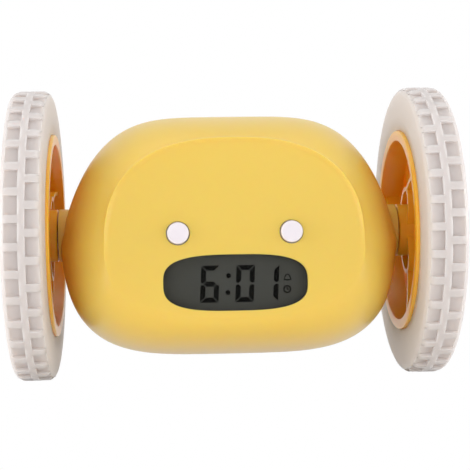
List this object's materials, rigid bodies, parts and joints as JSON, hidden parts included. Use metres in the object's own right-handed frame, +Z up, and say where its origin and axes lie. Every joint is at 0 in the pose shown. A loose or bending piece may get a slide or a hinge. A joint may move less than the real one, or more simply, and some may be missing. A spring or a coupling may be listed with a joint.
{
  "type": "runaway alarm clock",
  "caption": "Rolling alarm clock: rounded yellow casing with a dark display and push buttons, hung between large soft-tyred wheels driven by geared motors.",
  "frame": {"origin": "on the floor midway between the wheels, straight below the wheel axis", "axes": "+X along the wheel axis to the right seen from the front, -Y is the front with the display, +Z up"},
  "size_m": [0.133, 0.089, 0.089],
  "materials": {
    "casing_yellow": "satin moulded plastic",
    "hub_orange": "glossy moulded plastic",
    "tyre_white": "milky translucent soft plastic",
    "button_white": "satin moulded plastic",
    "window_smoke": "smoked clear plastic",
    "lcd": "liquid crystal panel",
    "board": "solder-masked board",
    "black_plastic": "moulded plastic",
    "steel": "bright steel",
    "motor_can": "plated can",
    "cell_wrap": "printed wrapper, plain",
    "brass": "turned brass",
    "nylon": "natural nylon",
    "frame_grey": "moulded plastic"
  },
  "bodies": {
    "casing": {"front_cover": "casing_yellow", "rear_cover": "casing_yellow", "casing_screws": "steel", "lcd_lens": "window_smoke", "lcd_panel": "lcd", "display_board": "board", "main_board": "board", "run_switch_body": "steel", "buzzer": "black_plastic", "battery_tray": "black_plastic", "battery_cells": "cell_wrap", "battery_contacts": "brass", "left_motor": "motor_can", "left_gearbox": "frame_grey", "left_bush": "brass", "right_motor": "motor_can", "right_gearbox": "frame_grey", "right_bush": "brass"},
    "battery_door_body": {"battery_door": "casing_yellow"},
    "run_switch_slider": {"run_switch_knob": "button_white"},
    "left_wheel": {"left_axle": "steel", "left_drive_gear": "nylon", "left_hub": "hub_orange", "left_tyre": "tyre_white", "left_hub_screw": "steel", "left_hub_cap": "hub_orange"},
    "left_idler": {"left_idler_gear": "nylon"},
    "left_rotor": {"left_pinion": "brass"},
    "left_eye": {"left_eye_button": "button_white"},
    "right_wheel": {"right_axle": "steel", "right_drive_gear": "nylon", "right_hub": "hub_orange", "right_tyre": "tyre_white", "right_hub_screw": "steel", "right_hub_cap": "hub_orange"},
    "right_idler": {"right_idler_gear": "nylon"},
    "right_rotor": {"right_pinion": "brass"},
    "right_eye": {"right_eye_button": "button_white"},
    "time_key": {"time_button": "button_white"},
    "alarm_key": {"alarm_button": "button_white"},
    "hour_key": {"hour_button": "button_white"},
    "minute_key": {"minute_button": "button_white"}
  },
  "joints": [
    {"name": "left_wheel_spin", "type": "hinge", "parent": "casing", "child": "left_wheel", "pos_m": [0, 0, 0.0445], "axis": [1, 0, 0], "continuous": true},
    {"name": "left_idler_spin", "type": "hinge", "parent": "casing", "child": "left_idler", "pos_m": [0, -0.01122, 0.03673], "axis": [1, 0, 0], "continuous": true},
    {"name": "left_rotor_spin", "type": "hinge", "parent": "casing", "child": "left_rotor", "pos_m": [0, -0.01509, 0.02574], "axis": [1, 0, 0], "continuous": true},
    {"name": "left_eye_press", "type": "slide", "parent": "casing", "child": "left_eye", "axis": [0, 0.9962, -0.0872], "range_m": [0, 0.0009], "stiffness_N_per_m": 400},
    {"name": "right_wheel_spin", "type": "hinge", "parent": "casing", "child": "right_wheel", "pos_m": [0, 0, 0.0445], "axis": [1, 0, 0], "continuous": true},
    {"name": "right_idler_spin", "type": "hinge", "parent": "casing", "child": "right_idler", "pos_m": [0, -0.01122, 0.03673], "axis": [1, 0, 0], "continuous": true},
    {"name": "right_rotor_spin", "type": "hinge", "parent": "casing", "child": "right_rotor", "pos_m": [0, -0.01509, 0.02574], "axis": [1, 0, 0], "continuous": true},
    {"name": "right_eye_press", "type": "slide", "parent": "casing", "child": "right_eye", "axis": [0, 0.9962, -0.0872], "range_m": [0, 0.0009], "stiffness_N_per_m": 400},
    {"name": "time_press", "type": "slide", "parent": "casing", "child": "time_key", "axis": [0, -0.9962, 0.0872], "range_m": [0, 0.0007], "stiffness_N_per_m": 400},
    {"name": "alarm_press", "type": "slide", "parent": "casing", "child": "alarm_key", "axis": [0, -0.9962, 0.0872], "range_m": [0, 0.0007], "stiffness_N_per_m": 400},
    {"name": "hour_press", "type": "slide", "parent": "casing", "child": "hour_key", "axis": [0, -0.9962, 0.0872], "range_m": [0, 0.0007], "stiffness_N_per_m": 400},
    {"name": "minute_press", "type": "slide", "parent": "casing", "child": "minute_key", "axis": [0, -0.9962, 0.0872], "range_m": [0, 0.0007], "stiffness_N_per_m": 400},
    {"name": "run_switch_slide", "type": "slide", "parent": "casing", "child": "run_switch_slider", "axis": [1, 0, 0], "range_m": [0, 0.003]},
    {"name": "battery_door_pull", "type": "slide", "parent": "casing", "child": "battery_door_body", "axis": [0, 0.9962, -0.0872], "range_m": [0, 0.012]}
  ],
  "couplings": [
    {"joint": "left_idler_spin", "follows": "left_wheel_spin", "ratio": -3.5},
    {"joint": "left_rotor_spin", "follows": "left_wheel_spin", "ratio": 12.6},
    {"joint": "right_idler_spin", "follows": "right_wheel_spin", "ratio": -3.5},
    {"joint": "right_rotor_spin", "follows": "right_wheel_spin", "ratio": 12.6}
  ]
}
